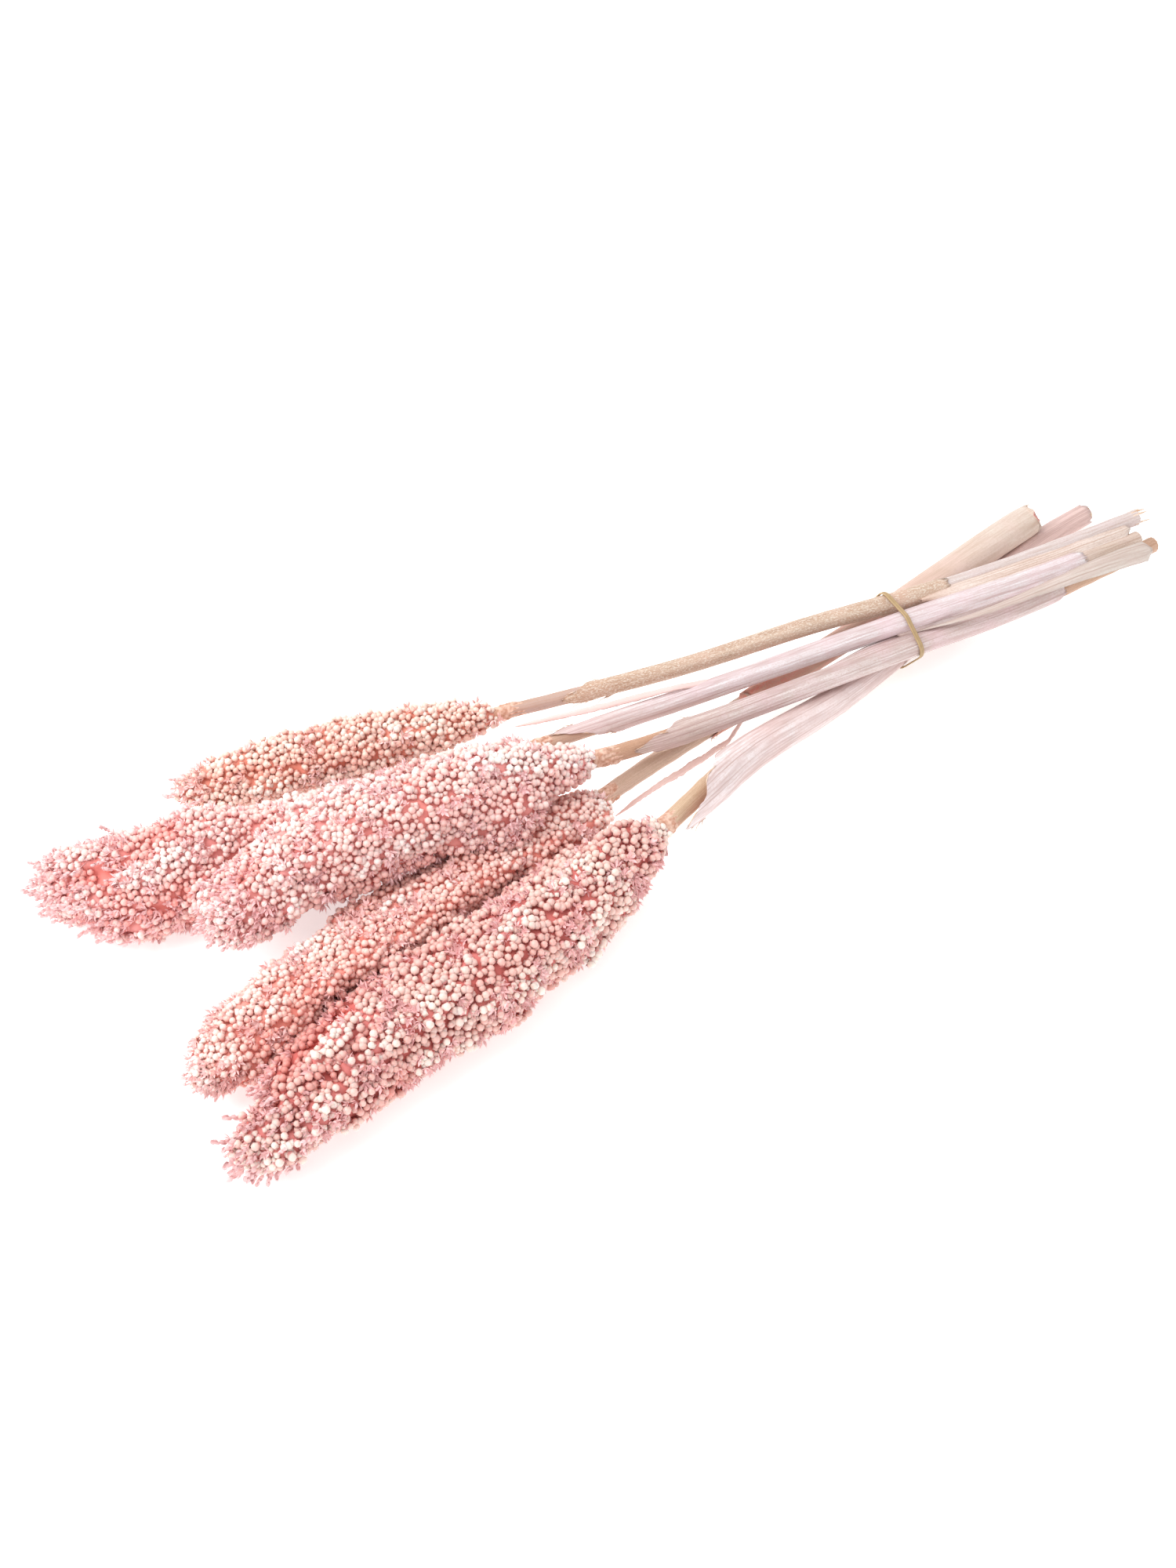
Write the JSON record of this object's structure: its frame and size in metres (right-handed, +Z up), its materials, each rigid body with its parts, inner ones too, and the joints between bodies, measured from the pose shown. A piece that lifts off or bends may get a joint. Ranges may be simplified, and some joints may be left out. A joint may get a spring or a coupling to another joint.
{
  "type": "tied bunch of dried sorghum seed heads",
  "caption": "Dried sorghum stems with plump, knobbly seed heads, loose leaf sheaths and a flat rubber band that ties them, lying as a loose fan.",
  "frame": {"origin": "centre of the bunch's box, on the table it lies on", "axes": "+Z up, +X along the stems towards the cut ends, so the seed heads are at -X; -Y is the side seen in the picture"},
  "size_m": [0.6656, 0.244, 0.085],
  "materials": {
    "seed_heads": "dry, pale, faintly glossy grains",
    "husks": "thin papery husks, lilac pink to straw",
    "stalks": "fibrous satin straw",
    "leaf": "dry matt leaf with fine long veins",
    "rubber": "tan, dull"
  },
  "bodies": {
    "root": {"head_1": "seed_heads", "head_2": "seed_heads", "head_3": "seed_heads", "head_4": "seed_heads", "head_5": "seed_heads", "stalk_1": "stalks", "stalk_2": "stalks", "stalk_3": "stalks", "stalk_4": "stalks", "stalk_5": "stalks", "sheath_1": "leaf", "sheath_2": "leaf", "sheath_3": "leaf", "sheath_4": "leaf", "sheath_5": "leaf", "leaf_offcut": "leaf", "leaf_wisp_2": "leaf", "leaf_wisp_4": "leaf", "rubber_band": "rubber"}
  },
  "joints": []
}
